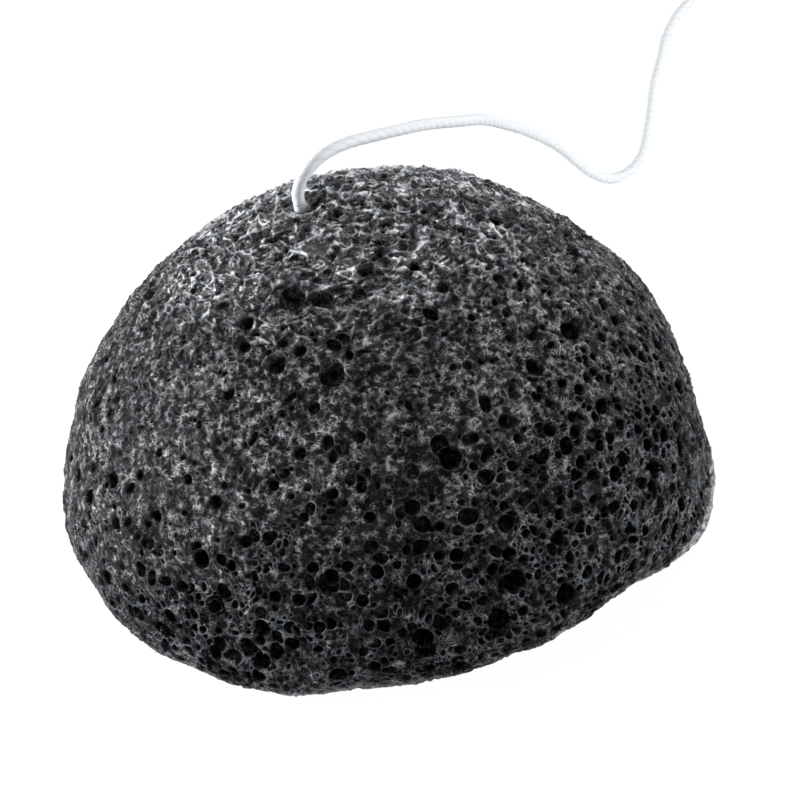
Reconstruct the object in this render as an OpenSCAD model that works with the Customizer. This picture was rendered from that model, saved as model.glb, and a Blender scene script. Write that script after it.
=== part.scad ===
/* [Sponge] */
// Diameter of the dome
sponge_d = 80; // [70:1:90]
// Radius of the rounded rim, which lifts the dome off its flat base
rim_r = 7; // [5:0.5:9]

/* [Pores] */
// Number of large open pores on the dome and the rim
pore_count = 320; // [200:1:360]
// Diameter of the smallest of these pores
pore_min_d = 1.4; // [1:0.1:1.8]
// Diameter of the largest of these pores
pore_max_d = 4; // [3:0.1:4.2]
// Bare ring of skin left round the cord where it comes out
pore_margin = 2.5; // [1.5:0.1:4]
// Height of the lowest pores above the base
pore_low_z = 2.5; // [2:0.1:4]

/* [Cord] */
// Diameter of the cord
cord_d = 1.5; // [1.3:0.05:1.7]
// Distance of the cord's channel from the middle of the sponge
channel_offset = 5.75; // [5:0.25:7]
// Running clearance between the cord and its channel, on the radius
channel_clearance = 0.05; // [0.02:0.01:0.1]
// Length of cord that stands straight up out of the dome
cord_lead = 0.4; // [0.3:0.05:0.8]

/* [Knots] */
// Gap between the turns of a knot, and between a knot and the cord inside it
wrap_gap = 0.45; // [0.42:0.01:0.6]
// Turns of the stopper knot under the sponge
stopper_turns = 2; // [1:1:3]
// Turns of the knot that closes the hanging loop
loop_turns = 3; // [2:1:4]
// Cut tail beside the cord at the loop's knot
tail_l = 3; // [2:0.5:5]
// Cut tail above the turns of the stopper knot
stopper_tail_l = 0.8; // [0.6:0.1:1.5]
// Gap between the stopper knot and the surface that the sponge stands on
stopper_lift = 0.6; // [0.5:0.1:1.5]
// Gap between the stopper knot and the seat that it pulls against
stopper_seat_gap = 0.3; // [0.2:0.05:0.5]
// Gap between the stopper knot and the wall of the hollow that holds it
stopper_wall_gap = 0.8; // [0.5:0.1:1.5]
// Rounding of the hollow's mouth
hollow_lip_r = 1.5; // [1:0.1:2]

/* [Hanging loop] */
// Length of the hanging loop beyond its knot
loop_l = 40; // [32:1:48]
// Width of the hanging loop
loop_w = 20; // [16:1:24]

/* [Hidden] */

sponge_r = sponge_d / 2;
sponge_h = sponge_r + rim_r;
cord_r = cord_d / 2;
channel_r = cord_r + channel_clearance;
cut_overrun = 1;

// The cord leaves the dome where the channel meets its surface
dome_z = rim_r + sqrt(sponge_r * sponge_r - channel_offset * channel_offset);
exit = [-channel_offset, 0, dome_z + cord_lead];

// A knot's turns lie one cord and one gap apart, and as far from the cord that they go round.
// They begin and end in a bend that brings the cord in line with the knot.
wrap_r = cord_d + wrap_gap;
wrap_pitch = cord_d + wrap_gap;
wrap_outer_r = wrap_r + cord_r;
wrap_slope = atan(wrap_pitch / (2 * PI * wrap_r));
bend_r = wrap_r;
bend_angle = 90 - wrap_slope;
bend_across = bend_r * (1 - cos(bend_angle));
bend_along = bend_r * sin(bend_angle);
bend_steps = 5;
turn_steps = 24;

// The stopper knot hangs from a half turn below the end of the core
turn_r = wrap_r / 2;
core_bottom_z = stopper_lift + cord_r + turn_r;
stopper_h = wrap_l(stopper_turns, 0, stopper_tail_l);
hollow_h = core_bottom_z + stopper_h + stopper_seat_gap;
hollow_r = wrap_outer_r + stopper_wall_gap;

// Each pore is a ball whose middle lies under the skin, so the cell is wider inside.
// Pores follow one spiral from the top down, and a second ratio deals out their sizes.
pore_sunk_share = 0.4;
pore_top_share = 0.985;
golden_angle = 137.508;
size_step_share = 0.7549;

cord_sides = 8;
knot_sides = 6;

// The free cord rises out of the dome, arches over its back, comes down on the table behind it
// and lies there up to the loop's knot
cord_route = [
    exit, [exit[0], exit[1], exit[2] + cord_d],
    [-5.2, 0.3, 49.8], [-4, 1, 51], [-2, 2.6, 51.8], [0.8, 5.6, 51.5], [4.6, 10.8, 49.7], [9, 19, 46.5],
    [12, 26, 43.5], [15.5, 33.5, 40], [18.5, 41, 36.5], [21.5, 50, 31.5], [25, 60, 25.5],
    [29, 71, 18], [32, 80, 11], [34, 86, 6.5], [36, 90.5, 3.2], [38.2, 93.5, 1.3],
    [41, 97, 0.8], [43, 102, 0.8], [44.5, 109, 0.8], [46, 117, 0.8], [47.5, 125.5, 0.8],
    [49.5, 134, 0.8], [51.5, 143, 0.8], [54.5, 151.5, 0.8], [58, 158, 0.8], [61.5, 164, 1.1],
    [64, 168.5, 2]
];

// The loop's knot lies on the table, in line with the end of the route
knot_angle = 60;
knot_at = [66.5, 173, wrap_outer_r + 0.05];
knot_way = [cos(knot_angle), sin(knot_angle), 0];
loop_knot_l = wrap_l(loop_turns, tail_l, cord_r);

// Half of the hanging loop's outline: shares of its length, of half its width, and of the
// height that its first strand comes down from the knot
loop_shares = [
    [0.1, 0.16, 0.6], [0.2, 0.38, 0.15], [0.32, 0.62, 0], [0.45, 0.82, 0], [0.58, 0.96, 0],
    [0.7, 1, 0], [0.82, 0.9, 0], [0.92, 0.66, 0], [0.98, 0.35, 0]
];

function unit(v) = v / norm(v);
function square_to(v, t) = unit(v - (v * t) * t);

// The route with a point added between each two, on the smooth curve through its neighbours
function between(a, b, c, d) = (9 * (b + c) - a - d) / 16;
function refined(p) = [
    for (i = [0 : len(p) - 1], half = [0 : i < len(p) - 1 ? 1 : 0])
        half == 0 ? p[i] : between(p[max(i - 1, 0)], p[i], p[i + 1], p[min(i + 2, len(p) - 1)])
];

// The way that a tube runs at each of its points, with the first and the last one given
function ways(p, first, last) = [
    for (i = [0 : len(p) - 1])
        i == 0 ? unit(first) : i == len(p) - 1 ? unit(last)
        : unit(unit(p[i] - p[i - 1]) + unit(p[i + 1] - p[i]))
];

// A direction across the tube, carried along it without twisting
function across(t) = [
    for (i = 0, n = square_to(abs(t[0][0]) < 0.7 ? [1, 0, 0] : [0, 1, 0], t[0]); i < len(t);
         i = i + 1, n = i < len(t) ? square_to(n, t[i]) : n) n
];

// A round tube along points, closed at both ends
module tube(p, sides, first, last) {
    t = ways(p, first, last);
    n = across(t);
    skin = [
        for (i = [0 : len(p) - 1], j = [0 : sides - 1])
            let (a = 360 * j / sides) p[i] + cord_r * (cos(a) * n[i] + sin(a) * cross(t[i], n[i]))
    ];
    walls = [
        for (i = [0 : len(p) - 2], j = [0 : sides - 1], half = [0, 1])
            let (a = i * sides + j, b = i * sides + (j + 1) % sides)
                half == 0 ? [a, a + sides, b] : [b, a + sides, b + sides]
    ];
    last_ring = (len(p) - 1) * sides;
    caps = [
        for (j = [1 : sides - 2], end = [0, 1])
            end == 0 ? [0, j, j + 1] : [last_ring, last_ring + j + 1, last_ring + j]
    ];
    polyhedron(points = skin, faces = concat(caps, walls));
}

// A knot's path on its own unrolled cylinder, as distance round it and along it: a tail,
// a bend, the turns, a bend back and the second tail
function wrap_l(turns, tail_a, tail_b) = tail_a + tail_b + 2 * bend_along + turns * wrap_pitch;
function wrap_round(turns) = 2 * bend_across + turns * 2 * PI * wrap_r;
function bend(share) = bend_r * [1 - cos(bend_angle * share), sin(bend_angle * share)];
function unrolled(turns, tail_a, tail_b) =
    let (
        start = [0, tail_a],
        turn = [2 * PI * wrap_r, wrap_pitch],
        end = [wrap_round(turns), wrap_l(turns, tail_a, 0)]
    )
    concat(
        tail_a > 0 ? [[0, 0], start / 2] : [],
        [for (i = [0 : bend_steps]) start + bend(i / bend_steps)],
        [for (i = [1 : turns * turn_steps - 1]) start + bend(1) + turn * i / turn_steps],
        [for (i = [bend_steps : -1 : 0]) end - bend(i / bend_steps)],
        [end + [0, tail_b]]
    );
function rolled(q) =
    let (a = q[0] / wrap_r * 180 / PI) [wrap_r * cos(a), wrap_r * sin(a), q[1]];
function wrap(turns, tail_a, tail_b) = [for (q = unrolled(turns, tail_a, tail_b)) rolled(q)];

// The half turn that takes the cord from the knot's axis, going down, to the first bend, going up
function half_turn() = [
    for (i = [0 : turn_steps / 2 - 1])
        let (a = 360 * i / turn_steps) [turn_r - turn_r * cos(a), 0, -turn_r * sin(a)]
];

// The least gap between the turns of a tube, on its points and past the points of half a turn
function least_gap(p) =
    min([for (i = [0 : len(p) - 1], j = [i + turn_steps / 2 : 1 : len(p) - 1]) norm(p[i] - p[j])])
    - cord_d;

module quarter(r) {
    intersection() {
        circle(r = r, $fn = 120);
        square(r);
    }
}

// The sponge's outline: a quarter of the dome over a quarter round at the rim
module sponge_outline() {
    translate([0, rim_r]) quarter(sponge_r);
    translate([sponge_r - rim_r, rim_r]) mirror([0, 1]) quarter(rim_r);
    square([sponge_r - rim_r, rim_r]);
}

module channel() {
    translate([exit[0], exit[1], -cut_overrun])
        cylinder(h = sponge_h + 2 * cut_overrun, r = channel_r, $fn = 48);
}

// The hollow under the sponge that the stopper knot has pulled itself into, with a rounded mouth
module hollow() {
    translate([exit[0], exit[1], 0]) {
        translate([0, 0, -cut_overrun]) cylinder(h = hollow_h + cut_overrun, r = hollow_r, $fn = 64);
        rotate_extrude($fn = 64)
            difference() {
                translate([0, -cut_overrun]) square([hollow_r + hollow_lip_r, hollow_lip_r + cut_overrun]);
                translate([hollow_r + hollow_lip_r, hollow_lip_r]) circle(r = hollow_lip_r, $fn = 48);
            }
    }
}

// Where the skin is at a height, and which way it faces: on the dome, or on the rim below
// the widest line. Both as a distance out from the middle and a distance up.
function skin_out(z) =
    z > rim_r ? sqrt(sponge_r * sponge_r - pow(z - rim_r, 2))
    : sponge_r - rim_r + sqrt(rim_r * rim_r - pow(rim_r - z, 2));
function skin_way(z) =
    z > rim_r ? [skin_out(z), z - rim_r] / sponge_r
    : [skin_out(z) - sponge_r + rim_r, z - rim_r] / rim_r;

module pores() {
    top_z = sponge_h * pore_top_share;
    for (k = [0 : pore_count - 1]) {
        z = top_z + (pore_low_z - top_z) * k / (pore_count - 1);
        size_share = pow((k * size_step_share) % 1, 2);
        r = (pore_min_d + (pore_max_d - pore_min_d) * size_share) / 2;
        way = skin_way(z);
        middle = [skin_out(z), z] - pore_sunk_share * r * way;
        a = k * golden_angle;
        place = [middle[0] * cos(a), middle[0] * sin(a), middle[1]];
        if (norm([place[0] - exit[0], place[1] - exit[1]]) > r + pore_margin)
            translate(place) rotate([0, atan2(way[0], way[1]), a]) sphere(r = r, $fn = 24);
    }
}

module sponge_body() {
    color("#3c4146")
        difference() {
            rotate_extrude($fn = 120) sponge_outline();
            channel();
            hollow();
            pores();
        }
}

// The stretch of cord inside the sponge, which turns in its channel
module cord_core() {
    color("#f2f1ee")
        translate([exit[0], exit[1], core_bottom_z])
            cylinder(h = exit[2] - core_bottom_z, r = cord_r, $fn = 48);
}

module stopper_knot() {
    path = concat(half_turn(), wrap(stopper_turns, 0, stopper_tail_l));
    echo(stopper_knot_gap = least_gap(path));
    color("#f2f1ee")
        translate([exit[0], exit[1], core_bottom_z]) tube(path, knot_sides, [0, 0, -1], [0, 0, 1]);
}

module cord_free() {
    path = concat(refined(cord_route), [knot_at, knot_at + knot_way * loop_knot_l]);
    color("#e9e8e4") tube(path, cord_sides, [0, 0, 1], knot_way);
}

// Puts a knot that is drawn along Z in line with the cord, its end turned down to the table
module in_line() {
    translate(knot_at) rotate([0, 90, knot_angle])
        rotate([0, 0, -wrap_round(loop_turns) / wrap_r * 180 / PI]) children();
}

module loop_knot() {
    path = wrap(loop_turns, tail_l, cord_r);
    echo(loop_knot_gap = least_gap(path));
    color("#f2f1ee") in_line() tube(path, knot_sides, [0, 0, 1], [0, 0, 1]);
}

module hanging_loop() {
    out = [for (s = loop_shares) [s[0] * loop_l, s[1] * loop_w / 2, (s[2] - 1) * wrap_r]];
    back = [for (i = [len(out) - 1 : -1 : 0]) [out[i][0], -out[i][1], -wrap_r]];
    path = concat([[0, 0, 0], [cord_d, 0, 0]], out, [[loop_l, 0, -wrap_r]], back,
                  [[cord_d, 0, -wrap_r], [0, 0, -wrap_r]]);
    color("#f2f1ee")
        translate(knot_at + knot_way * loop_knot_l) rotate([0, 0, knot_angle])
            tube(path, cord_sides, [1, 0, 0], [-1, 0, 0]);
}

sponge_body();
cord_core();
stopper_knot();
cord_free();
loop_knot();
hanging_loop();
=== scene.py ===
"""The konjac sponge on its cord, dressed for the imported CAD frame. CAD sizes here are in millimetres."""
import math

import bmesh
import bpy
import numpy as np
from mathutils import Matrix, Vector


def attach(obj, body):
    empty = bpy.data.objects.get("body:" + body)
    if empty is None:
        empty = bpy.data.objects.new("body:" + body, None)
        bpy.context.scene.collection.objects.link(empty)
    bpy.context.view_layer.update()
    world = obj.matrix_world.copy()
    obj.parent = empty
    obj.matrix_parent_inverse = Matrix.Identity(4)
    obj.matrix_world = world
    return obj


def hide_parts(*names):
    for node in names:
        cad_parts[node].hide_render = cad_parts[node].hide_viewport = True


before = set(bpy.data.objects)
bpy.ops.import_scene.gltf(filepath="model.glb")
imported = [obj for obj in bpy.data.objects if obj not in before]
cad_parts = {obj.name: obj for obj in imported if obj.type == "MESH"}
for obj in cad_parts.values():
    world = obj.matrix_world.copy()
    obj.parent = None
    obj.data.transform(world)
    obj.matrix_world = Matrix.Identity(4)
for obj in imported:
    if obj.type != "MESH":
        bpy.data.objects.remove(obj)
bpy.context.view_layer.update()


# ---- The sponge body ----
# A dome of konjac foam cast in a cup, dried hard and blackened with bamboo charcoal. Its top is a
# matted skin in fine folds, the rest is open cells with thin pale walls. A needle drew the cord
# through it, and the knot under its base has pulled itself up into a hollow.
dome_r, rim_r = 40, 7
knot_x, hollow_r, hollow_h, lip_r, fillet_r = -5.75, 3.5, 11.18, 1.5, 1
mouth_r = hollow_r + lip_r
side_share = 0.78  # of the ball's triangles, for the dome and the rim. The base has the rest

# Its outline from the top's middle to the base's middle: distance out, height, and the way it faces
turn = np.linspace(0, np.pi / 2, 300)
flat = np.linspace(1, 0, 100)
outline = np.concatenate([
    np.stack([dome_r * np.sin(turn), rim_r + dome_r * np.cos(turn), np.sin(turn), np.cos(turn)], 1),
    np.stack([dome_r - rim_r + rim_r * np.cos(turn), rim_r - rim_r * np.sin(turn),
              np.cos(turn), -np.sin(turn)], 1),
    np.stack([(dome_r - rim_r) * flat, 0 * flat, 0 * flat, 0 * flat - 1], 1),
])
step = np.hypot(*np.diff(outline[:, :2], axis=0).T)
skin_area = np.concatenate([[0], np.cumsum(np.pi * (outline[1:, 0] + outline[:-1, 0]) * step)])
side_area = skin_area[599]
share = np.interp(skin_area, [0, side_area, skin_area[-1]], [0, side_share, 1])

# The hollow's outline from the mouth's edge to the middle of its ceiling, in the same terms
hollow = np.concatenate([
    np.stack([mouth_r - lip_r * np.sin(turn), lip_r - lip_r * np.cos(turn),
              -np.sin(turn), -np.cos(turn)], 1),
    np.stack([hollow_r - fillet_r + fillet_r * np.cos(turn), hollow_h - fillet_r + fillet_r * np.sin(turn),
              -np.cos(turn), -np.sin(turn)], 1),
    [[0, hollow_h, 0, -1]],
])
hollow_way = np.concatenate([[0], np.cumsum(np.hypot(*np.diff(hollow[:, :2], axis=0).T))])
hollow_way /= hollow_way[-1]


def coordinates(points):
    """The places of a mesh's vertices as an array."""
    found = np.zeros(3 * len(points), np.float32)
    points.foreach_get("co", found)
    return found.reshape(-1, 3).astype(float)


def on_outline(ball):
    """Where a ball's points lie on the smooth outline, how it faces there, and their share of the skin."""
    way = ball / np.linalg.norm(ball, axis=1)[:, None]
    part = (1 - way[:, 2]) / 2
    sideways = way[:, :2] / np.maximum(np.hypot(way[:, 0], way[:, 1]), 1e-9)[:, None]
    out, up, faces_out, faces_up = (np.interp(part, share, column) for column in outline.T)
    place = np.column_stack([sideways * out[:, None], up])
    facing = np.column_stack([sideways * faces_out[:, None], faces_up])
    from_knot = place[:, :2] - [knot_x, 0]
    distance = np.hypot(*from_knot.T)
    inside = (part > side_share) & (distance < mouth_r)
    toward = from_knot[inside] / np.maximum(distance[inside], 1e-9)[:, None]
    rank = 1 - distance[inside] / mouth_r
    out, up, faces_out, faces_up = (np.interp(rank, hollow_way, column) for column in hollow.T)
    place[inside] = np.column_stack([toward * out[:, None] + [knot_x, 0], up])
    facing[inside] = np.column_stack([toward * faces_out[:, None], faces_up])
    return place, facing / np.linalg.norm(facing, axis=1)[:, None], part


# A ball of small triangles, finer on the dome and the rim, is laid on that outline
foam = bmesh.new()
bmesh.ops.create_icosphere(foam, subdivisions=8, radius=1)
finer_above = 1 - 2 * side_share - 0.02
finer_edges = [e for e in foam.edges if max(v.co.z for v in e.verts) > finer_above]
bmesh.ops.subdivide_edges(foam, edges=finer_edges, cuts=1, use_grid_fill=True)
bmesh.ops.triangulate(foam, faces=[f for f in foam.faces if len(f.verts) > 3])
sponge_mesh = bpy.data.meshes.new("sponge")
foam.to_mesh(sponge_mesh)
foam.free()
smooth_place, facing, part = on_outline(coordinates(sponge_mesh.vertices))


def picked(cell, seed):
    """Random numbers for each cell of a grid, always the same ones for the same cell."""
    i = (cell[:, 0] * 73856093) ^ (cell[:, 1] * 19349663) ^ (cell[:, 2] * 83492791)
    return np.random.default_rng(seed).random((8192, 6), np.float32)[i & 8191]


def drift(points, size, seed):
    """Smooth noise from -1 to 1, in lumps of about this size."""
    cell = np.floor(points / size).astype(np.int64)
    part_way = points / size - cell
    part_way = part_way * part_way * (3 - 2 * part_way)
    total = np.zeros(len(points))
    for corner in np.ndindex(2, 2, 2):
        total += np.where(corner, part_way, 1 - part_way).prod(1) * picked(cell + corner, seed)[:, 0]
    return 2 * total - 1


def cells(points, size, seed):
    """How far each point is from the wall of the foam cell it lies in, and that cell's random numbers."""
    points = points.astype(np.float32)
    near = np.full(len(points), 1e9, np.float32)
    far = near.copy()
    way_near = np.zeros_like(points)
    way_far = np.zeros_like(points)
    dice = np.zeros((len(points), 6), np.float32)
    cell = np.floor(points / size).astype(np.int64)
    for neighbour in np.ndindex(3, 3, 3):
        other = cell + neighbour - 1
        draw = picked(other, seed)
        way = ((other + 0.1 + 0.8 * draw[:, :3]) * size - points).astype(np.float32)
        reach = (way * way).sum(1)
        closer = reach < near
        second = (reach < far) & ~closer
        far[second], way_far[second] = reach[second], way[second]
        far[closer], way_far[closer] = near[closer], way_near[closer]
        near[closer], way_near[closer], dice[closer] = reach[closer], way[closer], draw[closer]
    between = np.linalg.norm(way_far - way_near, axis=1)
    return (far - near) / (2 * between), dice


def eased(value, low, high):
    """0 below low, 1 above high, and a smooth step between them."""
    t = np.clip((value - low) / (high - low), 0, 1)
    return t * t * (3 - 2 * t)


# Zones by height: open cells up to 12 mm, and higher to the right, and a matted skin from 29 mm up.
# The zone is 0 in open foam and 1 under the skin, and more on the back of the top, where it carries painted
# light
x, y, z = smooth_place.T
on_side = part <= side_share
open_zone = 1 - eased(z - 0.25 * x + 5 * drift(smooth_place, 11, 5), 12, 32)
open_zone[~on_side] = 0.7
skin_zone = eased(z + 4 * drift(smooth_place, 9, 6), 29, 46) * on_side
zone = (1 - open_zone + skin_zone) / 2 + 0.1 * drift(smooth_place, 6, 13)
# Painted light: the back of the top gets more pale lines, for the light from behind that whitens its edge
zone += 0.3 * eased(y, -2, 18) * skin_zone

# How far the surface lies under the smooth outline, in mm, first by its swells of 15, 5 and 2 mm
sunk = -0.3 * drift(smooth_place, 15, 7) - 0.35 * drift(smooth_place, 5, 8) - 0.2 * drift(smooth_place, 2, 10)

# It isn't quite round: azimuth and height of the places where it stands out or in, and by how much.
# Each place is about 8 degrees and 4.5 mm across to each side
dents = [
    (-1, 10.5, -1.1), (3, 16, -0.7), (6, 21, -0.3), (-172, 6.5, -0.6), (-161, 4.5, -1.0), (-150, 3, -0.5),
    (-124, 1.3, 0.7), (-112, 1.2, 1.1), (-70, 1.1, -0.5), (-55, 1.5, -0.9), (-44, 1.8, -1.3), (-22, 3.8, 0.8),
]
round_way = np.degrees(np.arctan2(y, x))
for at, height, outward in dents:
    turned = (round_way - at + 180) % 360 - 180
    sunk -= outward * np.exp(-(turned / 8) ** 2 - ((z - height) / 4.5) ** 2) * on_side

# Its top is pressed 0.7 mm lower at the back, in a band that faces up and away
off_band = facing @ [0, 0.888, -0.46]
sunk += 0.7 * np.exp(-(off_band / 0.3) ** 2) * eased(facing @ [0, 0.46, 0.888], 0.5, 0.8)

# A dense lip of konjac with no open cells runs along the rim, and up round the right end to 8 mm.
# Its pale on the rim and at the right end is painted light, bounced up from the white table and let through
# the thin edge
lip_height = 2.2 + 1.6 * drift(smooth_place, 7, 11)
rim_lip = 1 - eased(z, 0.6 * lip_height, 1.3 * lip_height)
end_from = round_way + 13.5 + 3.9 * (8.4 - z) + 3 * drift(smooth_place, 3, 12)
right_end = eased(end_from, -1.5, 2) * (1 - eased(round_way, 0, 14)) * (1 - eased(z, 8, 11))
lip = np.maximum(rim_lip, right_end) * on_side
end_light = right_end * (1 - eased(round_way + 9 * drift(smooth_place, 4, 14), -8, 8))
lip_light = np.maximum(rim_lip, end_light) * on_side

# How far each point is inside an open cell, in mm and below 0 on the walls, and how much painted shade
# blackens that cell.
# The cells' places are bent by up to 0.6 mm, so that none is a true ball
opening = np.full(len(z), -0.6)
pit_shade = np.zeros(len(z))
bent = smooth_place + np.stack([drift(smooth_place, 2.2, s) for s in (31, 32, 33)], 1) * 0.6

# The large pores: azimuth in degrees, height and width in millimetres. First those seen in front, and
# then 420 draws for the back and the foot, from 0.9 to 2.8 mm wide
pores = [
    (-77, 27.9, 2.8), (-85, 21.9, 2.2), (-82, 21.3, 1.4), (-36, 34.1, 2.8), (-52, 33.2, 1.9),
    (-56, 27.2, 1.9), (-54, 25.0, 2.2), (-42, 26.5, 2.0), (-46, 19.6, 2.1), (-36, 16.9, 2.7),
    (-39, 15.7, 1.5), (-31, 22.7, 1.4), (-23, 28.2, 2.0), (-21, 31.5, 1.8), (-29, 31.6, 1.6),
    (-80, 17.7, 1.9), (-71, 16.3, 1.9), (-71, 12.7, 3.0), (-62, 8.9, 2.9), (-50, 10.1, 1.7),
    (-67, 17.8, 1.2), (-76, 19.0, 1.2), (-51, 16.4, 1.6), (-60, 18.5, 1.5), (-88, 15.8, 1.9),
    (-82, 14.1, 1.7), (-83, 18.2, 1.4), (-64, 29.7, 1.7), (-63, 27.7, 1.4), (-45, 29.2, 1.7),
    (-48, 30.6, 1.5), (-32, 27.5, 1.4), (-36, 28.1, 1.5), (-50, 27.3, 1.6), (-59, 25.2, 1.5),
    (-46, 24.3, 1.2), (-40, 23.8, 1.5), (-23, 23.3, 1.2), (-88, 8.5, 2.6), (-75, 8.8, 3.0),
    (100, 46.7, 2.5), (-110, 46.8, 1.6), (-74, 45.5, 1.3), (4, 46.2, 1.2), (-11, 42.9, 2.1),
    (-32, 41.9, 1.0), (-42, 40.5, 1.6), (-27, 40.3, 1.5), (-33, 37.8, 1.1), (22, 43.4, 1.4),
    (-86, 44.1, 1.9), (-66, 43.6, 1.8), (-132, 44.7, 1.5), (-116, 42.7, 3.4), (-104, 42.6, 2.5),
    (-59, 39.0, 1.0), (-61, 41.8, 1.5), (-109, 39.0, 1.7), (-126, 38.9, 1.4), (-129, 40.6, 2.0),
    (-104, 34.3, 1.5), (-100, 37.1, 3.2), (-115, 37.9, 2.5), (-107, 30.2, 1.6), (-112, 27.1, 1.3),
    (-124, 24.7, 1.8), (-106, 23.9, 1.3), (-117, 21.1, 1.6), (-126, 18.3, 2.3), (-120, 18.2, 1.6),
    (-131, 26.4, 1.5), (-144, 25.0, 1.5), (-140, 28.1, 1.3), (-137, 21.6, 1.4), (-139, 20.4, 0.9),
    (-95, 26.6, 1.3), (-94, 23.5, 1.6), (-102, 17.2, 2.0), (-105, 18.4, 1.5), (-94, 17.4, 1.7),
    (-99, 18.3, 1.4), (-112, 15.0, 1.7), (-108, 14.7, 1.6), (-97, 14.3, 1.5), (-122, 14.8, 2.0),
    (-124, 12.7, 1.6), (-127, 13.6, 1.1), (-134, 10.0, 1.8), (-139, 11.1, 1.2), (-115, 10.9, 2.2),
    (-110, 9.1, 1.7), (-118, 8.1, 2.4), (-116, 6.5, 2.6), (-125, 6.7, 2.1), (-113, 7.9, 2.1),
    (-103, 4.7, 2.3), (-105, 11.2, 1.6), (-103, 11.6, 1.5), (-25, 35.7, 1.0), (-20, 33.2, 1.7),
    (-28, 33.4, 1.0), (-26, 31.8, 1.1), (-34, 32.3, 0.8), (-18, 28.2, 1.6), (-12, 29.1, 1.5),
    (-29, 29.8, 1.2), (-36, 30.8, 1.1), (-40, 31.5, 1.1), (-37, 31.9, 0.9), (-20, 26.1, 1.3),
    (-34, 28.9, 1.2), (-39, 29.8, 1.2), (-24, 25.0, 1.1), (-20, 22.0, 1.0), (-54, 31.1, 1.1),
    (-60, 32.2, 0.9), (-53, 36.3, 1.1), (-49, 38.1, 0.8), (-42, 35.7, 1.0), (-31, 24.7, 1.0),
    (-34, 23.1, 1.3), (-38, 25.3, 1.1), (-46, 27.6, 1.0), (-45, 26.1, 1.4),
]
pore_dice = np.random.default_rng(40)
for count in range(420):
    azimuth, share_down = pore_dice.uniform(0, 360), pore_dice.uniform(0, 1)
    height = 46.5 - 44 * share_down
    width = 0.9 + 1.9 * pore_dice.uniform() ** 2.2
    if 10 < azimuth < 195 or height < 5:
        pores.append((azimuth, height, width))

# Each is a ball whose middle lies under the skin, and none comes within 1.6 mm of the cord's middle.
# The widest ones near the top have a film left in them
pore_heights = np.array([height for azimuth, height, width in pores])
side_outline = outline[:600]
out_there, facing_out, facing_up = (
    np.interp(-pore_heights, -side_outline[:, 1], side_outline[:, column]) for column in (0, 2, 3))
by_height = np.argsort(z)
sorted_z = z[by_height]
wobble = drift(smooth_place, 1.3, 9)
for (azimuth, height, width), out, way_out, way_up in zip(pores, out_there, facing_out, facing_up):
    c = math.cos(math.radians(azimuth))
    s = math.sin(math.radians(azimuth))
    way = np.array([way_out * c, way_out * s, way_up])
    ball_r = width / 2 * 1.08
    middle = np.array([out * c, out * s, height]) - 0.4 * ball_r * way
    if math.hypot(middle[0] - knot_x, middle[1]) < ball_r + 1.6:
        continue
    low, high = np.searchsorted(sorted_z, [height - 1.6 * width, height + 1.6 * width])
    near = by_height[low:high]
    gap = smooth_place[near] - middle
    near = near[(gap * gap).sum(1) < (1.5 * width) ** 2]
    gap = smooth_place[near] - middle
    reach = np.linalg.norm(gap, axis=1) * (1 + 0.14 * wobble[near])
    above = (gap * facing[near]).sum(1)
    depth = above + np.sqrt(np.maximum(above ** 2 - reach ** 2 + ball_r ** 2, 0))
    room = np.where(opening[near] < -0.08, ball_r - reach, -0.6)
    sunk[near] += 1.3 * depth * eased(room, -0.02, 0.2)
    opening[near] = np.maximum(opening[near], room)
    film = width > 2.4 and height > 36
    pit_shade[near] = np.where(room > -0.1, 0.25 if film else 1, pit_shade[near])


def bubbles(points, size, seed, share_closed, share_open, largest):
    """How far each point is inside a bubble, less half of a 0.15 mm wall, and the bubble's random numbers."""
    points = points.astype(np.float32)
    best = np.full(len(points), -2, np.float32)
    second = best.copy()
    dice = np.zeros((len(points), 2), np.float32)
    cell = np.floor(points / size).astype(np.int64)
    for neighbour in np.ndindex(3, 3, 3):
        other = cell + neighbour - 1
        draw = picked(other, seed)
        middle = (other + 0.1 + 0.8 * draw[:, :3]) * size
        in_open_foam = 1 - eased(middle[:, 2] - 0.25 * middle[:, 0], 10, 34)
        is_open = draw[:, 4] < share_closed + (share_open - share_closed) * in_open_foam
        radius = np.where(is_open, size * (0.24 + largest * draw[:, 3]), -2)
        inside = (radius - np.sqrt(((middle - points) ** 2).sum(1))).astype(np.float32)
        better = inside > best
        second = np.where(better, best, np.maximum(second, inside))
        best = np.where(better, inside, best)
        dice[better] = draw[better][:, [3, 5]]
    return np.minimum(best, (best - second) / 2 - 0.075), dice


# The cells of the open foam from large to small, each cut into what is left: how far apart, the seed,
# how deep, the share of them that is open in the skin and in open foam, and the spread of their sizes
for size, seed, deep, share_closed, share_open, largest in (
    (3.0, 20, 1.8, 0.02, 0.4, 0.2), (1.75, 21, 1.4, 0.08, 0.85, 0.33), (1.0, 22, 0.8, 0.12, 0.8, 0.33),
):
    room, dice = bubbles(bent, size, seed, share_closed, share_open, largest)
    free = (opening < -0.1) & (lip < 0.5)
    depth = deep * (0.35 + 0.65 * dice[:, 1]) * eased(room, -0.02, 0.25)
    sunk += np.where(free, depth, 0.25 * depth)
    pit_shade = np.where(free & (room > opening), 0.6 + 0.4 * eased(dice[:, 1], 0.05, 0.3), pit_shade)
    opening = np.where(free, np.maximum(opening, room), opening)

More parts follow.
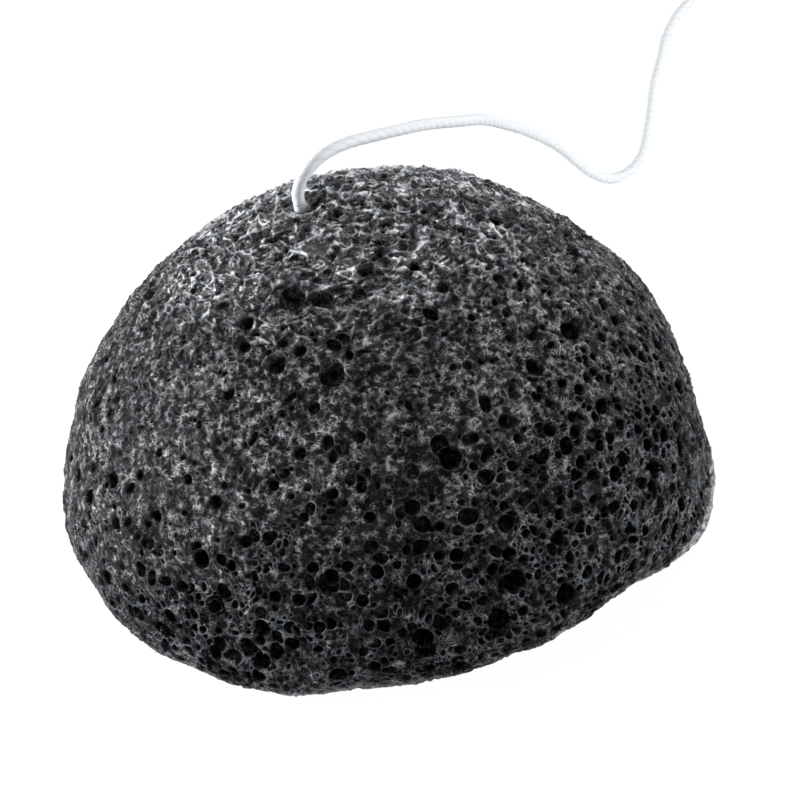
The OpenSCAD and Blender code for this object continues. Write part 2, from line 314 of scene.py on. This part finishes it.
# The skin's folds are the walls of crushed cells 2.8 mm across, flatter the higher up they lie. Wrinkles
# 6 mm long run level across it, and it is crumpled fine in between
bent[:, 2] += 0.019 * bent[:, 2] ** 2
to_wall, dice = cells(bent, 2.8, 34)
closed = 1 - eased(opening, -0.15, 0)
fold = np.exp(-(to_wall / 0.2) ** 2) * (0.3 + 0.7 * dice[:, 3]) * (0.25 + 0.75 * skin_zone) * closed
wrinkled = cells(bent * [0.42, 0.42, 1.1], 2.8, 37)[0]
wrinkle = np.exp(-(wrinkled / 0.3) ** 2) * skin_zone * closed
to_wall = np.minimum(to_wall, wrinkled + 0.5 * (1 - eased(skin_zone, 0, 0.5))) + 1 - closed
crumple = (1 - np.abs(drift(bent, 0.85, 35)) * 2.5) + (1 - np.abs(drift(bent, 0.5, 36)) * 2.5) * 0.6
sunk -= (0.4 + 0.2 * skin_zone) * fold + 0.25 * wrinkle + 0.1 * crumple * closed

# The skin draws in round the cord. The outline grows by 1.3 mm at most, and the base stays flat
from_cord = np.hypot(x - knot_x, y)
sunk += np.where(on_side & (z > 30), 0.9 * np.exp(-(from_cord / 1.5) ** 2), 0)
sunk = np.where(on_side, np.maximum(sunk, -1.3), np.maximum(sunk, 0))

finished = smooth_place - facing * sunk[:, None]
finished[:, 2] = np.maximum(finished[:, 2], 0)
sponge_mesh.vertices.foreach_set("co", (finished / 1000).astype(np.float32).ravel())
for name, values in (
    ("opening", opening), ("pit_shade", pit_shade), ("to_wall", to_wall), ("cell_tone", dice[:, 3]),
    ("zone", zone), ("lip_light", lip_light),
):
    sponge_mesh.attributes.new(name, "FLOAT", "POINT").data.foreach_set("value", values.astype(np.float32))

# Two discs hold its flat pattern: the dome with the rim, and the base
corner_points = np.zeros(len(sponge_mesh.loops), np.int32)
sponge_mesh.loops.foreach_get("vertex_index", corner_points)
corner_part = part[corner_points]
corner_way = np.arctan2(y, x)[corner_points]
in_base = np.repeat(corner_part.reshape(-1, 3).mean(1) > side_share, 3)
disc_middle = np.where(in_base, 0.795, 0.385)
from_middle = np.where(in_base, 0.195 * np.sqrt((1 - corner_part) / (1 - side_share)),
                       0.38 * np.sqrt(corner_part / side_share))
flat_x = disc_middle + from_middle * np.cos(corner_way)
flat_y = disc_middle + from_middle * np.sin(corner_way)
flat_pattern = sponge_mesh.uv_layers.new(name="OFBake")
flat_pattern.data.foreach_set("uv", np.stack([flat_x, flat_y], 1).astype(np.float32).ravel())
sponge_mesh.polygons.foreach_set("use_smooth", np.ones(len(sponge_mesh.polygons), bool))
sponge = bpy.data.objects.new("konjac_sponge", sponge_mesh)
bpy.context.scene.collection.objects.link(sponge)


def linear(hex_colour):
    """An sRGB hex colour as the linear values that Blender takes."""
    parts = [int(hex_colour[i:i + 2], 16) / 255 for i in (1, 3, 5)]
    return (*[p / 12.92 if p <= 0.04045 else ((p + 0.055) / 1.055) ** 2.4 for p in parts], 1)


def add_node(tree, kind, settings, inputs):
    """Adds a node. Settings are its own values, and an input is a value or the socket that feeds it."""
    made = tree.nodes.new(kind)
    for name, value in settings.items():
        setattr(made, name, value)
    for name, value in inputs.items():
        if isinstance(value, bpy.types.NodeSocket):
            tree.links.new(value, made.inputs[name])
        else:
            made.inputs[name].default_value = value
    return made


# Dried konjac foam with charcoal powder: near black in the cells, with a damp gloss on the skin.
# Its cell rims, creases and folds are painted pale grey with a blue cast: painted light for what its thin
# walls let through, and painted highlights for the glints on them.
# A pattern's scale is its repeats to the metre: 380 for patches 2.6 mm across, lighter and darker.
foam_look = bpy.data.materials.new("charcoal_konjac_foam")
foam_look.use_nodes = True
tree = foam_look.node_tree
tree.nodes.clear()
where = add_node(tree, "ShaderNodeTexCoord", {}, {}).outputs["Object"]
from_mesh = {name: add_node(tree, "ShaderNodeAttribute", {"attribute_name": name}, {}).outputs["Fac"]
             for name in ("opening", "pit_shade", "to_wall", "cell_tone", "zone", "lip_light")}
patches = add_node(tree, "ShaderNodeTexNoise", {}, {
    "Vector": where, "Scale": 380, "Detail": 2}).outputs["Fac"]

# Painted highlights on the skin's crushed cells: pale lines 0.1 mm wide, swayed every 1.4 mm and broken off
# every 0.9 mm, for the glints on their damp walls. They are a net of 1.5 mm cells, flattened towards the top,
# and glints of 0.4 mm drawn out 4 to 1 in scraps 2.2 mm across, most of them nearly level. Real ones are
# finer still
sway = add_node(tree, "ShaderNodeTexNoise", {}, {
    "Vector": where, "Scale": 700, "Detail": 1}).outputs["Color"]
sway = add_node(tree, "ShaderNodeVectorMath", {"operation": "SUBTRACT"}, {
    0: sway, 1: (0.5, 0.5, 0.5)}).outputs[0]
sway = add_node(tree, "ShaderNodeVectorMath", {"operation": "SCALE"}, {0: sway, "Scale": 0.0018}).outputs[0]
swayed = add_node(tree, "ShaderNodeVectorMath", {"operation": "ADD"}, {0: where, 1: sway}).outputs[0]
axes = add_node(tree, "ShaderNodeSeparateXYZ", {}, {"Vector": swayed}).outputs
taller = add_node(tree, "ShaderNodeMath", {"operation": "MULTIPLY_ADD"}, {
    0: axes["Z"], 1: 19, 2: 1}).outputs[0]
taller = add_node(tree, "ShaderNodeMath", {"operation": "MULTIPLY"}, {0: axes["Z"], 1: taller}).outputs[0]
swayed = add_node(tree, "ShaderNodeCombineXYZ", {}, {
    "X": axes["X"], "Y": axes["Y"], "Z": taller}).outputs[0]
broken = add_node(tree, "ShaderNodeTexNoise", {}, {
    "Vector": where, "Scale": 1100, "Detail": 1}).outputs["Fac"]
broken = add_node(tree, "ShaderNodeMapRange", {}, {
    "Value": broken, "From Min": 0.38, "From Max": 0.7, "To Min": 0.1, "To Max": 1.6}).outputs["Result"]
line_width = add_node(tree, "ShaderNodeMapRange", {}, {
    "Value": from_mesh["zone"], "From Min": 0.7, "From Max": 1.0,
    "To Min": 0.065, "To Max": 0.042}).outputs["Result"]
net = add_node(tree, "ShaderNodeTexVoronoi", {"feature": "DISTANCE_TO_EDGE"}, {
    "Vector": swayed, "Scale": 650}).outputs["Distance"]
net = add_node(tree, "ShaderNodeMapRange", {}, {
    "Value": net, "From Min": line_width, "From Max": 0.0}).outputs["Result"]
scraps = add_node(tree, "ShaderNodeTexVoronoi", {}, {"Vector": swayed, "Scale": 450}).outputs["Color"]
grain = add_node(tree, "ShaderNodeVectorMath", {"operation": "MULTIPLY_ADD"}, {
    0: scraps, 1: (0.6, 1, 1), 2: (-0.3, -0.5, -0.5)}).outputs[0]
grain = add_node(tree, "ShaderNodeVectorMath", {"operation": "CROSS_PRODUCT"}, {
    0: grain, 1: where}).outputs[0]
grain = add_node(tree, "ShaderNodeVectorMath", {"operation": "NORMALIZE"}, {0: grain}).outputs[0]
with_grain = add_node(tree, "ShaderNodeVectorMath", {"operation": "DOT_PRODUCT"}, {
    0: grain, 1: swayed}).outputs["Value"]
with_grain = add_node(tree, "ShaderNodeMath", {"operation": "MULTIPLY"}, {
    0: with_grain, 1: -0.75}).outputs[0]
drawn = add_node(tree, "ShaderNodeVectorMath", {"operation": "SCALE"}, {
    0: grain, "Scale": with_grain}).outputs[0]
drawn = add_node(tree, "ShaderNodeVectorMath", {"operation": "ADD"}, {0: swayed, 1: drawn}).outputs[0]
flake_glints = add_node(tree, "ShaderNodeTexNoise", {}, {
    "Vector": drawn, "Scale": 2600, "Detail": 2}).outputs["Fac"]
flake_glints = add_node(tree, "ShaderNodeMath", {"operation": "SUBTRACT"}, {0: flake_glints, 1: 0.5}).outputs[0]
flake_glints = add_node(tree, "ShaderNodeMath", {"operation": "ABSOLUTE"}, {0: flake_glints}).outputs[0]
flake_glints = add_node(tree, "ShaderNodeMapRange", {}, {
    "Value": flake_glints, "From Min": line_width, "From Max": 0.015}).outputs["Result"]
fine = add_node(tree, "ShaderNodeMath", {"operation": "MAXIMUM"}, {0: net, 1: flake_glints}).outputs[0]
fine = add_node(tree, "ShaderNodeMath", {"operation": "MULTIPLY"}, {0: fine, 1: broken}).outputs[0]

# Wider pale lines, painted highlights on their crests, run where the mesh has its folds and wrinkles
fold_glints = add_node(tree, "ShaderNodeMapRange", {}, {
    "Value": from_mesh["to_wall"], "From Min": 0.15, "From Max": 0.03}).outputs["Result"]
half_broken = add_node(tree, "ShaderNodeMapRange", {}, {
    "Value": broken, "To Min": 0.1, "To Max": 1.0}).outputs["Result"]
fold_glints = add_node(tree, "ShaderNodeMath", {"operation": "MULTIPLY"}, {0: fold_glints, 1: half_broken}).outputs[0]
crease_glints = add_node(tree, "ShaderNodeMath", {"operation": "MAXIMUM"}, {0: fine, 1: fold_glints}).outputs[0]

# The near black body of the foam, a little different in each crushed cell, and its pale lines of painted
# highlight:
# more of them the more the skin covers it, and the most on the top and its back, as painted light
gain = add_node(tree, "ShaderNodeMapRange", {}, {
    "Value": patches, "From Min": 0.35, "From Max": 0.65, "To Min": 0.35, "To Max": 1.4}).outputs["Result"]
cover = add_node(tree, "ShaderNodeMapRange", {}, {
    "Value": from_mesh["zone"], "From Min": 0.0, "From Max": 0.5,
    "To Min": 0.2, "To Max": 0.42}).outputs["Result"]
# Painted light: the top and its back get many more pale lines, for the light from above and behind
more = add_node(tree, "ShaderNodeMapRange", {}, {
    "Value": from_mesh["zone"], "From Min": 0.86, "From Max": 1.5,
    "To Min": 0.0, "To Max": 4.5}).outputs["Result"]
cover = add_node(tree, "ShaderNodeMath", {"operation": "ADD"}, {0: cover, 1: more}).outputs[0]
gain = add_node(tree, "ShaderNodeMath", {"operation": "MULTIPLY"}, {0: gain, 1: cover}).outputs[0]
pale = add_node(tree, "ShaderNodeMath", {"operation": "POWER"}, {0: crease_glints, 1: 1.8}).outputs[0]
pale = add_node(tree, "ShaderNodeMath", {"operation": "MULTIPLY_ADD"}, {
    0: from_mesh["cell_tone"], 1: 0.04, 2: pale}).outputs[0]
pale = add_node(tree, "ShaderNodeMath", {"operation": "MULTIPLY", "use_clamp": True}, {
    0: pale, 1: gain}).outputs[0]
wall_and_glint_colour = add_node(tree, "ShaderNodeMix", {"data_type": "RGBA"}, {
    0: patches, 6: linear("#dce8fa"), 7: linear("#fbf8f2")}).outputs[2]
body = add_node(tree, "ShaderNodeMix", {"data_type": "RGBA"}, {
    0: pale, 6: linear("#08090b"), 7: wall_and_glint_colour}).outputs[2]

# The painted light on the lip of the rim and of the right end, pale in level layers 0.4 mm thick
layers = add_node(tree, "ShaderNodeMapping", {}, {"Vector": where, "Scale": (1, 1, 3)}).outputs["Vector"]
layers = add_node(tree, "ShaderNodeTexNoise", {}, {
    "Vector": layers, "Scale": 900, "Detail": 2}).outputs["Fac"]
layers = add_node(tree, "ShaderNodeMapRange", {}, {
    "Value": layers, "From Min": 0.38, "From Max": 0.66, "To Min": 0.1, "To Max": 1.0}).outputs["Result"]
layered = add_node(tree, "ShaderNodeMath", {"operation": "MULTIPLY"}, {
    0: from_mesh["lip_light"], 1: layers}).outputs[0]
body = add_node(tree, "ShaderNodeMix", {"data_type": "RGBA"}, {
    0: layered, 6: body, 7: linear("#c6cbd0")}).outputs[2]

# The rim of each open cell, painted as a pale line 0.1 mm wide and uneven: painted light on and through its
# thin lip. The black inside it is painted shade, over the foam's own near black
rim = add_node(tree, "ShaderNodeMath", {"operation": "ADD"}, {0: from_mesh["opening"], 1: 0.03}).outputs[0]
rim = add_node(tree, "ShaderNodeMath", {"operation": "ABSOLUTE"}, {0: rim}).outputs[0]
rim = add_node(tree, "ShaderNodeMapRange", {"interpolation_type": "SMOOTHSTEP"}, {
    "Value": rim, "From Min": 0.06, "From Max": 0.01}).outputs["Result"]
rim_light_tone = add_node(tree, "ShaderNodeMapRange", {}, {
    "Value": patches, "From Min": 0.4, "From Max": 0.65, "To Min": 0.02, "To Max": 0.52}).outputs["Result"]
rim = add_node(tree, "ShaderNodeMath", {"operation": "MULTIPLY"}, {0: rim, 1: rim_light_tone}).outputs[0]
less = add_node(tree, "ShaderNodeMapRange", {}, {
    "Value": from_mesh["zone"], "From Min": 0.1, "From Max": 0.5,
    "To Min": 1.0, "To Max": 0.6}).outputs["Result"]
rim = add_node(tree, "ShaderNodeMath", {"operation": "MULTIPLY"}, {0: rim, 1: less}).outputs[0]
body = add_node(tree, "ShaderNodeMix", {"data_type": "RGBA"}, {
    0: rim, 6: body, 7: linear("#949ca6")}).outputs[2]
# Painted shade: the insides of open cells painted black, as the deep pits look
hole_shade = add_node(tree, "ShaderNodeMapRange", {"interpolation_type": "SMOOTHSTEP"}, {
    "Value": from_mesh["opening"], "From Min": -0.02, "From Max": 0.08}).outputs["Result"]
hole_shade = add_node(tree, "ShaderNodeMath", {"operation": "MULTIPLY"}, {
    0: hole_shade, 1: from_mesh["pit_shade"]}).outputs[0]
body = add_node(tree, "ShaderNodeMix", {"data_type": "RGBA"}, {
    0: hole_shade, 6: body, 7: linear("#040405")}).outputs[2]

# Damp where the patches are light, with a gloss on the pale lines only and a soft sheen on the skin.
# The lines stand 0.16 mm high
rough = add_node(tree, "ShaderNodeMapRange", {}, {
    "Value": patches, "From Min": 0.3, "From Max": 0.7, "To Min": 0.42, "To Max": 0.15}).outputs["Result"]
gloss = add_node(tree, "ShaderNodeMath", {"operation": "ADD"}, {0: pale, 1: 0.02}).outputs[0]
sheen = add_node(tree, "ShaderNodeMapRange", {}, {
    "Value": from_mesh["zone"], "From Min": 0.75, "From Max": 1.5,
    "To Min": 0.0, "To Max": 0.6}).outputs["Result"]
sheen = add_node(tree, "ShaderNodeMath", {"operation": "MAXIMUM"}, {0: sheen, 1: gloss}).outputs[0]
bump = add_node(tree, "ShaderNodeBump", {}, {
    "Height": crease_glints, "Strength": 1.0, "Distance": 0.00016}).outputs["Normal"]
surface = add_node(tree, "ShaderNodeBsdfPrincipled", {}, {
    "Base Color": body, "Roughness": rough, "Normal": bump, "Specular IOR Level": gloss,
    "Sheen Weight": sheen, "Sheen Roughness": 0.3})
add_node(tree, "ShaderNodeOutputMaterial", {}, {"Surface": surface.outputs["BSDF"]})
sponge_mesh.materials.append(foam_look)
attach(sponge, "sponge")
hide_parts("sponge_body")


# ---- The cord inside the sponge ----
# A soft cotton cord, three strands laid together, that runs straight up through the needle's channel.
# Each strand goes round once in 6.6 mm. The cord leaves the dome 0.4 mm above the smooth outline.
cord_r = 0.75
exit_at = np.array([knot_x, 0, rim_r + math.sqrt(dome_r ** 2 - knot_x ** 2) + 0.4])
core_bottom = np.array([knot_x, 0, 2.325])
lay = 6.6
strand_depth = 0.07
ring_step = 0.2
around_count = 24


def smooth_route(points, step):
    """Points this far apart on the smooth curve through the route's own points."""
    points = np.array(points, float)
    padded = np.concatenate([[2 * points[0] - points[1]], points, [2 * points[-1] - points[-2]]])
    line = []
    for a, b, c, d in zip(padded, padded[1:], padded[2:], padded[3:]):
        for t in np.linspace(0, 1, 12, endpoint=False):
            line.append(0.5 * (2 * b + (c - a) * t + (2 * a - 5 * b + 4 * c - d) * t ** 2
                               + (3 * b - a - 3 * c + d) * t ** 3))
    line = np.array(line + [points[-1]])
    run = np.concatenate([[0], np.cumsum(np.linalg.norm(np.diff(line, axis=0), axis=1))])
    at = np.linspace(0, run[-1], max(2, round(run[-1] / step) + 1))
    return np.stack([np.interp(at, run, column) for column in line.T], 1)


def laid_cord(name, points, round_ends=(False, False)):
    """A cord of three twisted strands, a grid rolled up round a route. Gives it and its middle line."""
    line = smooth_route(points, ring_step)
    way = np.gradient(line, axis=0)
    way /= np.linalg.norm(way, axis=1)[:, None]
    across = np.zeros_like(line)
    side = np.array([1.0, 0, 0]) if abs(way[0][0]) < 0.7 else np.array([0, 1.0, 0])
    for i, t in enumerate(way):
        side = side - side @ t * t
        side /= np.linalg.norm(side)
        across[i] = side
    over = np.cross(way, across)
    run = np.arange(len(line)) * ring_step
    grown = bmesh.new()
    bmesh.ops.create_grid(grown, x_segments=len(line) - 1, y_segments=around_count, size=1)
    pattern = grown.loops.layers.uv.new("along_cord")
    for f in grown.faces:
        for corner in f.loops:
            i = (corner.vert.co.x + 1) / 2 * (len(line) - 1)
            corner[pattern].uv = (i * ring_step, (corner.vert.co.y + 1) / 2)
    for v in grown.verts:
        i = round((v.co.x + 1) / 2 * (len(line) - 1))
        a = (v.co.y + 1) * math.pi
        strand = abs(math.cos(1.5 * (a - 2 * math.pi * run[i] / lay)))
        r = cord_r * (1 - strand_depth * (1 - strand) ** 1.5)
        from_start = i * ring_step if round_ends[0] else cord_r
        from_end = min(from_start, (len(line) - 1 - i) * ring_step if round_ends[1] else cord_r)
        if from_end < cord_r:
            r *= max(0.25, math.sqrt(1 - (1 - from_end / cord_r) ** 2))
        v.co = Vector((line[i] + r * (math.cos(a) * across[i] + math.sin(a) * over[i])) / 1000)
    bmesh.ops.remove_doubles(grown, verts=grown.verts, dist=1e-7)
    bmesh.ops.holes_fill(grown, edges=[e for e in grown.edges if e.is_boundary], sides=0)
    bmesh.ops.recalc_face_normals(grown, faces=grown.faces)
    mesh = bpy.data.meshes.new(name)
    grown.to_mesh(mesh)
    grown.free()
    mesh.polygons.foreach_set("use_smooth", np.ones(len(mesh.polygons), bool))
    made = bpy.data.objects.new(name, mesh)
    bpy.context.scene.collection.objects.link(made)
    mesh.materials.append(cotton_look)
    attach(made, "cord")
    return made, line


# Bleached and waxed cotton: bright white with a cool cast, painted greyer as painted shade in the grooves
# between strands, with a faint uneven tone and bump in lumps of 0.3 mm in place of its fibres, which are
# finer.
cotton_look = bpy.data.materials.new("waxed_white_cotton")
cotton_look.use_nodes = True
tree = cotton_look.node_tree
tree.nodes.clear()
on_cord = add_node(tree, "ShaderNodeUVMap", {"uv_map": "along_cord"}, {}).outputs["UV"]
on_cord = add_node(tree, "ShaderNodeSeparateXYZ", {}, {"Vector": on_cord}).outputs
twist = add_node(tree, "ShaderNodeMath", {"operation": "MULTIPLY_ADD"}, {
    0: on_cord["X"], 1: -1 / lay, 2: on_cord["Y"]}).outputs[0]
groove = add_node(tree, "ShaderNodeMath", {"operation": "MULTIPLY"}, {0: twist, 1: 3 * math.pi}).outputs[0]
groove = add_node(tree, "ShaderNodeMath", {"operation": "COSINE"}, {0: groove}).outputs[0]
groove = add_node(tree, "ShaderNodeMath", {"operation": "ABSOLUTE"}, {0: groove}).outputs[0]
on_strand = add_node(tree, "ShaderNodeMapRange", {}, {
    "Value": groove, "From Min": 0.0, "From Max": 0.45}).outputs["Result"]
where = add_node(tree, "ShaderNodeTexCoord", {}, {}).outputs["Object"]
fibre = add_node(tree, "ShaderNodeTexNoise", {}, {
    "Vector": where, "Scale": 3000, "Detail": 2}).outputs["Fac"]
# Painted shade: the grooves between the strands are painted greyer than the strands' crowns
tone = add_node(tree, "ShaderNodeMix", {"data_type": "RGBA"}, {
    0: on_strand, 6: linear("#cfd5d8"), 7: linear("#dde2e5")}).outputs[2]
tone = add_node(tree, "ShaderNodeMix", {"data_type": "RGBA", "blend_type": "MULTIPLY"}, {
    0: 0.12, 6: tone, 7: fibre}).outputs[2]
bump = add_node(tree, "ShaderNodeBump", {}, {
    "Height": fibre, "Strength": 0.3, "Distance": 0.0001}).outputs["Normal"]
surface = add_node(tree, "ShaderNodeBsdfPrincipled", {}, {
    "Base Color": tone, "Roughness": 0.6, "Normal": bump, "Sheen Weight": 0.15,
    "Subsurface Weight": 0.4, "Subsurface Radius": (1, 1, 1), "Subsurface Scale": 0.001})
add_node(tree, "ShaderNodeOutputMaterial", {}, {"Surface": surface.outputs["BSDF"]})

core_route = [core_bottom + (exit_at - core_bottom) * t for t in np.linspace(0, 1, 12)]
core = laid_cord("cord_in_channel", core_route)[0]
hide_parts("cord_core")


# ---- The stopper knot ----
# The cord's lower end doubles back and goes round itself twice, and is cut off short above the turns.
# It hangs in the hollow of the base, clear of the table.
wrap_r = wrap_pitch = bend_r = 1.95
bend_angle = math.radians(90) - math.atan(wrap_pitch / (2 * math.pi * wrap_r))
bend_across = bend_r * (1 - math.cos(bend_angle))
bend_along = bend_r * math.sin(bend_angle)
turn_points = 24


def wound(turns, tail_a, tail_b):
    """A knot's turns round the axis Z: a tail, a bend, the turns, a bend back and the second tail."""
    rise = np.linspace(0, 1, 6)[:, None] * bend_angle
    bend = bend_r * np.column_stack([1 - np.cos(rise), np.sin(rise)])
    one_turn = np.array([2 * math.pi * wrap_r, wrap_pitch])
    end = np.array([2 * bend_across, tail_a + 2 * bend_along]) + turns * one_turn
    middle = [bend[-1] + one_turn * i / turn_points for i in range(1, turn_points * turns)]
    tail = [[0, 0], [0, tail_a / 2]] if tail_a else np.zeros((0, 2))
    flat = np.concatenate([tail, [[0, tail_a]] + bend, [[0, tail_a]] + np.array(middle), end - bend[::-1],
                           [end + [0, tail_b]]])
    angle = flat[:, 0] / wrap_r
    return np.column_stack([wrap_r * np.cos(angle), wrap_r * np.sin(angle), flat[:, 1]])


half = np.linspace(0, math.pi, 12, endpoint=False)
half_turn = np.column_stack([wrap_r / 2 * (1 - np.cos(half)), 0 * half, -wrap_r / 2 * np.sin(half)])
stopper_route = core_bottom + np.concatenate([half_turn, wound(2, 0, 0.8)])
stopper = laid_cord("stopper_knot_laid", stopper_route, round_ends=(False, True))[0]
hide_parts("stopper_knot")


# ---- The loop's knot ----
# The cord's free end goes round the standing part three times, is drawn tight, and its cut tail
# lies back along the cord. It lies on the table, at the end of the free cord.
knot_turns, knot_tail, knot_lead = 3, 3, 0.75
knot_at = np.array([66.5, 173, 2.75])
knot_turn = math.radians(60)
knot_way = np.array([math.cos(knot_turn), math.sin(knot_turn), 0])
knot_l = knot_tail + knot_lead + 2 * bend_along + knot_turns * wrap_pitch
wound_angle = (2 * bend_across + knot_turns * 2 * math.pi * wrap_r) / wrap_r
in_line = (Matrix.Rotation(knot_turn, 3, "Z") @ Matrix.Rotation(math.pi / 2, 3, "Y")
           @ Matrix.Rotation(-wound_angle, 3, "Z"))
loop_knot_route = knot_at + wound(knot_turns, knot_tail, knot_lead) @ np.array(in_line).T
loop_knot = laid_cord("loop_knot_laid", loop_knot_route, round_ends=(True, False))[0]
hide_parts("loop_knot")


# ---- The hanging loop ----
# The same cord, turned back on itself in a loop for a finger or a hook. It lies flat behind its knot,
# and widens and sinks to the table by the shares of its length, half width and height below.
loop_start = knot_at + knot_way * knot_l
loop_shares = [
    (0.1, 0.16, 0.6), (0.2, 0.38, 0.15), (0.32, 0.62, 0), (0.45, 0.82, 0), (0.58, 0.96, 0),
    (0.7, 1, 0), (0.82, 0.9, 0), (0.92, 0.66, 0), (0.98, 0.35, 0),
]
loop_l, loop_half_w = 40, 10
out = [(loop_l * a, loop_half_w * b, (c - 1) * wrap_r) for a, b, c in loop_shares]
back = [(a, -b, -wrap_r) for a, b, c in reversed(out)]
loop_points = np.array([(0, 0, 0), (1.5, 0, 0)] + out + [(loop_l, 0, -wrap_r)] + back
                       + [(1.5, 0, -wrap_r), (0, 0, -wrap_r)])
to_knot_way = np.array(Matrix.Rotation(knot_turn, 3, "Z"))
loop, loop_line = laid_cord("hanging_loop_laid", loop_start + loop_points @ to_knot_way.T)
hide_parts("hanging_loop")


# ---- The free cord ----
# The cord comes straight out of the dome, arches over its back and comes down on the table, where it
# runs on to the knot of its loop. It is soft but waxed, so the arch stands by itself.
cord_route = [
    exit_at, exit_at + [0, 0, 1.5], (-5.2, 0.3, 49.8), (-4, 1, 51), (-2, 2.6, 51.8), (0.8, 5.6, 51.5),
    (4.6, 10.8, 49.7), (9, 19, 46.5), (12, 26, 43.5), (15.5, 33.5, 40), (18.5, 41, 36.5), (21.5, 50, 31.5),
    (25, 60, 25.5), (29, 71, 18), (32, 80, 11), (34, 86, 6.5), (36, 90.5, 3.2), (38.2, 93.5, 1.3),
    (41, 97, 0.8), (43, 102, 0.8), (44.5, 109, 0.8), (46, 117, 0.8), (47.5, 125.5, 0.8), (49.5, 134, 0.8),
    (51.5, 143, 0.8), (54.5, 151.5, 0.8), (58, 158, 0.8), (61.5, 164, 1.1), (64, 168.5, 2),
    knot_at, knot_at + knot_way * knot_l,
]
free_cord, free_line = laid_cord("free_cord_laid", cord_route)
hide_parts("cord_free")


# ---- The table, the light and the camera ----
# A plain white table top that goes on to the horizon. The camera sees it white but for a faint shadow.
# It and the white round it give little light, because the softboxes do that.


def seen_or_mirrored(tree):
    """1 where the camera sees it, straight, mirrored or through something clear, and 0 for falling light."""
    ray = add_node(tree, "ShaderNodeLightPath", {}, {})
    seen = add_node(tree, "ShaderNodeMath", {"operation": "ADD", "use_clamp": True}, {
        0: ray.outputs["Is Camera Ray"], 1: ray.outputs["Is Glossy Ray"]})
    return add_node(tree, "ShaderNodeMath", {"operation": "ADD", "use_clamp": True}, {
        0: seen.outputs[0], 1: ray.outputs["Is Transmission Ray"]}).outputs[0]


table = bmesh.new()
bmesh.ops.create_grid(table, x_segments=1, y_segments=1, size=4)
table_mesh = bpy.data.meshes.new("table_top")
table.to_mesh(table_mesh)
table.free()
table_top = bpy.data.objects.new("table_top", table_mesh)
bpy.context.scene.collection.objects.link(table_top)
table_look = bpy.data.materials.new("white_table")
table_look.use_nodes = True
tree = table_look.node_tree
tree.nodes.clear()
seen = add_node(tree, "ShaderNodeMath", {"operation": "MULTIPLY"}, {0: seen_or_mirrored(tree), 1: 0.93})
lit = add_node(tree, "ShaderNodeBsdfDiffuse", {}, {"Color": linear("#f4f4f4")})
plain = add_node(tree, "ShaderNodeEmission", {}, {"Color": (1, 1, 1, 1), "Strength": 1.05})
both = add_node(tree, "ShaderNodeMixShader", {}, {
    0: seen.outputs[0], 1: lit.outputs[0], 2: plain.outputs[0]})
add_node(tree, "ShaderNodeOutputMaterial", {}, {"Surface": both.outputs[0]})
table_mesh.materials.append(table_look)

world = bpy.data.worlds.new("studio")
bpy.context.scene.world = world
world.use_nodes = True
tree = world.node_tree
tree.nodes.clear()
level = add_node(tree, "ShaderNodeMapRange", {}, {
    "Value": seen_or_mirrored(tree), "To Min": 0.22, "To Max": 1.0})
sky = add_node(tree, "ShaderNodeBackground", {}, {
    "Color": (1, 1, 1, 1), "Strength": level.outputs["Result"]})
add_node(tree, "ShaderNodeOutputWorld", {}, {"Surface": sky.outputs[0]})

# Softboxes: a large one above and behind, a low one at each side, and a small weak one in front
for name, place, width, power in (
    ("softbox_above", (-0.08, 0.2, 0.8), 0.4, 2.8), ("softbox_left", (-0.6, 0, 0.08), 0.2, 6.0),
    ("softbox_right", (0.6, 0, 0.08), 0.2, 3.4), ("softbox_front", (-0.2, -0.55, 0.5), 0.1, 0.35),
):
    lamp = bpy.data.lights.new(name, "AREA")
    lamp.size = width
    lamp.energy = power
    holder = bpy.data.objects.new(name, lamp)
    holder.location = place
    holder.rotation_euler = (Vector((0, 0, 0.02)) - Vector(place)).to_track_quat("-Z", "Y").to_euler()
    bpy.context.scene.collection.objects.link(holder)

# The camera stands half a metre off, 27.4 degrees above the table, and is tipped 8.28 degrees
camera = bpy.data.cameras.new("camera")
camera.lens = 183.73
camera.sensor_width = 36
camera.clip_start, camera.clip_end = 0.01, 20
stand = bpy.data.objects.new("camera", camera)
elevation = math.radians(27.4)
back_way = Vector((0, -math.cos(elevation), math.sin(elevation)))
stand.location = Vector((0.00275, 0, 0.01902)) + 0.5 * back_way
tipped = Matrix.Rotation(math.radians(-8.28), 3, "Z").to_quaternion()
stand.rotation_euler = ((-back_way).to_track_quat("-Z", "Y") @ tipped).to_euler()
bpy.context.scene.collection.objects.link(stand)
bpy.context.scene.camera = stand
bpy.context.scene.view_settings.view_transform = "Standard"
